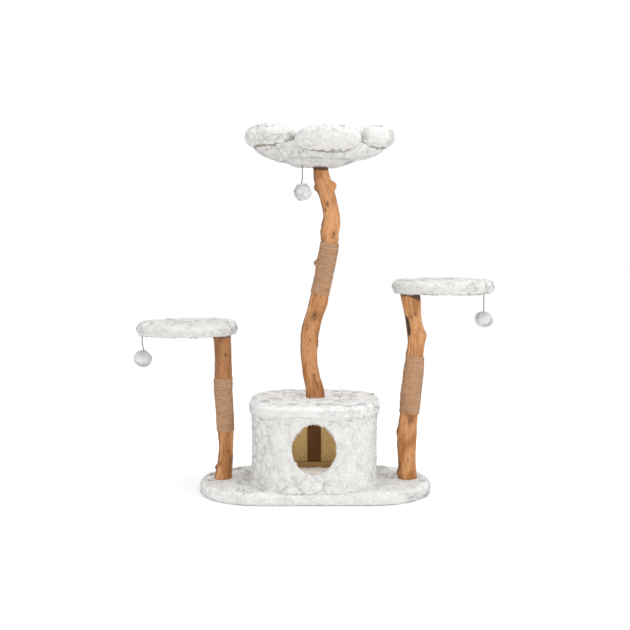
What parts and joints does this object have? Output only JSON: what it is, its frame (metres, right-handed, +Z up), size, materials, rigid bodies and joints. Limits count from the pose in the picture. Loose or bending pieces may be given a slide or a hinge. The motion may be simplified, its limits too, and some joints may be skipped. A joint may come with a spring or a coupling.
{
  "type": "cat tree",
  "caption": "Cat tree with natural branch posts, a plush-covered den, two round perches, a petal-shaped bed on top and hanging pom-pom toys.",
  "frame": {"origin": "on the floor, in the middle of the base's felt underside", "axes": "+Z up, +X to the right and -Y towards the side the den's doorway faces"},
  "size_m": [1.3185, 0.5385, 1.335],
  "materials": {
    "faux_fur": "long soft white plush",
    "pompom_yarn": "fluffy white yarn",
    "natural_wood": "peeled branch, clear matt coat",
    "sisal_rope": "fine wound rope",
    "fibreboard": "bare particle board",
    "kraft_board": "bent bare hardboard",
    "ring_wood": "bare board edge",
    "dark_wood": "dark stained batten",
    "foam": "open-cell foam",
    "felt": "needle felt",
    "steel": "zinc plated",
    "elastic_cord": "braided elastic"
  },
  "bodies": {
    "stand": {"base_felt": "felt", "base_board": "fibreboard", "base_foam": "foam", "base_cover": "faux_fur", "den_wall": "kraft_board", "den_floor_ring": "ring_wood", "den_floor_mat": "faux_fur", "den_batten": "dark_wood", "den_wall_cover": "faux_fur", "den_lid_board": "fibreboard", "den_lid_foam": "foam", "den_lid_band": "faux_fur", "den_lid_cover": "faux_fur", "middle_branch": "natural_wood", "left_branch": "natural_wood", "right_branch": "natural_wood", "middle_rope_wrap": "sisal_rope", "left_rope_wrap": "sisal_rope", "right_rope_wrap": "sisal_rope", "branch_bolts": "steel", "branch_washers": "steel", "branch_inserts": "steel", "left_perch_board": "fibreboard", "left_perch_foam": "foam", "left_perch_cover": "faux_fur", "right_perch_board": "fibreboard", "right_perch_foam": "foam", "right_perch_cover": "faux_fur", "bed_board": "fibreboard", "bed_dish": "faux_fur", "bed_middle_pad": "faux_fur", "bed_petal_front": "faux_fur", "bed_petal_right": "faux_fur", "bed_petal_back_right": "faux_fur", "bed_petal_back_left": "faux_fur", "bed_petal_left": "faux_fur", "left_toy_anchor": "felt", "right_toy_anchor": "felt", "bed_toy_anchor": "felt"},
    "left_knot": {"left_toy_top_knot": "elastic_cord"},
    "left_pompom": {"left_toy_cord": "elastic_cord", "left_toy_end_knot": "elastic_cord", "left_toy_ball": "pompom_yarn"},
    "right_knot": {"right_toy_top_knot": "elastic_cord"},
    "right_pompom": {"right_toy_cord": "elastic_cord", "right_toy_end_knot": "elastic_cord", "right_toy_ball": "pompom_yarn"},
    "bed_knot": {"bed_toy_top_knot": "elastic_cord"},
    "bed_pompom": {"bed_toy_cord": "elastic_cord", "bed_toy_end_knot": "elastic_cord", "bed_toy_ball": "pompom_yarn"}
  },
  "joints": [
    {"name": "left_toy_swing_back", "type": "hinge", "parent": "stand", "child": "left_knot", "pos_m": [-0.633, 0, 0.576], "axis": [1, 0, 0], "range_deg": [-45, 45]},
    {"name": "left_toy_swing_side", "type": "hinge", "parent": "left_knot", "child": "left_pompom", "pos_m": [-0.633, 0, 0.576], "axis": [0, 1, 0], "range_deg": [-45, 45]},
    {"name": "right_toy_swing_back", "type": "hinge", "parent": "stand", "child": "right_knot", "pos_m": [0.617, 0, 0.728], "axis": [1, 0, 0], "range_deg": [-45, 45]},
    {"name": "right_toy_swing_side", "type": "hinge", "parent": "right_knot", "child": "right_pompom", "pos_m": [0.617, 0, 0.728], "axis": [0, 1, 0], "range_deg": [-45, 45]},
    {"name": "bed_toy_swing_back", "type": "hinge", "parent": "stand", "child": "bed_knot", "pos_m": [-0.045, -0.058, 1.183], "axis": [1, 0, 0], "range_deg": [-45, 12]},
    {"name": "bed_toy_swing_side", "type": "hinge", "parent": "bed_knot", "child": "bed_pompom", "pos_m": [-0.045, -0.058, 1.183], "axis": [0, 1, 0], "range_deg": [-12, 45]}
  ]
}
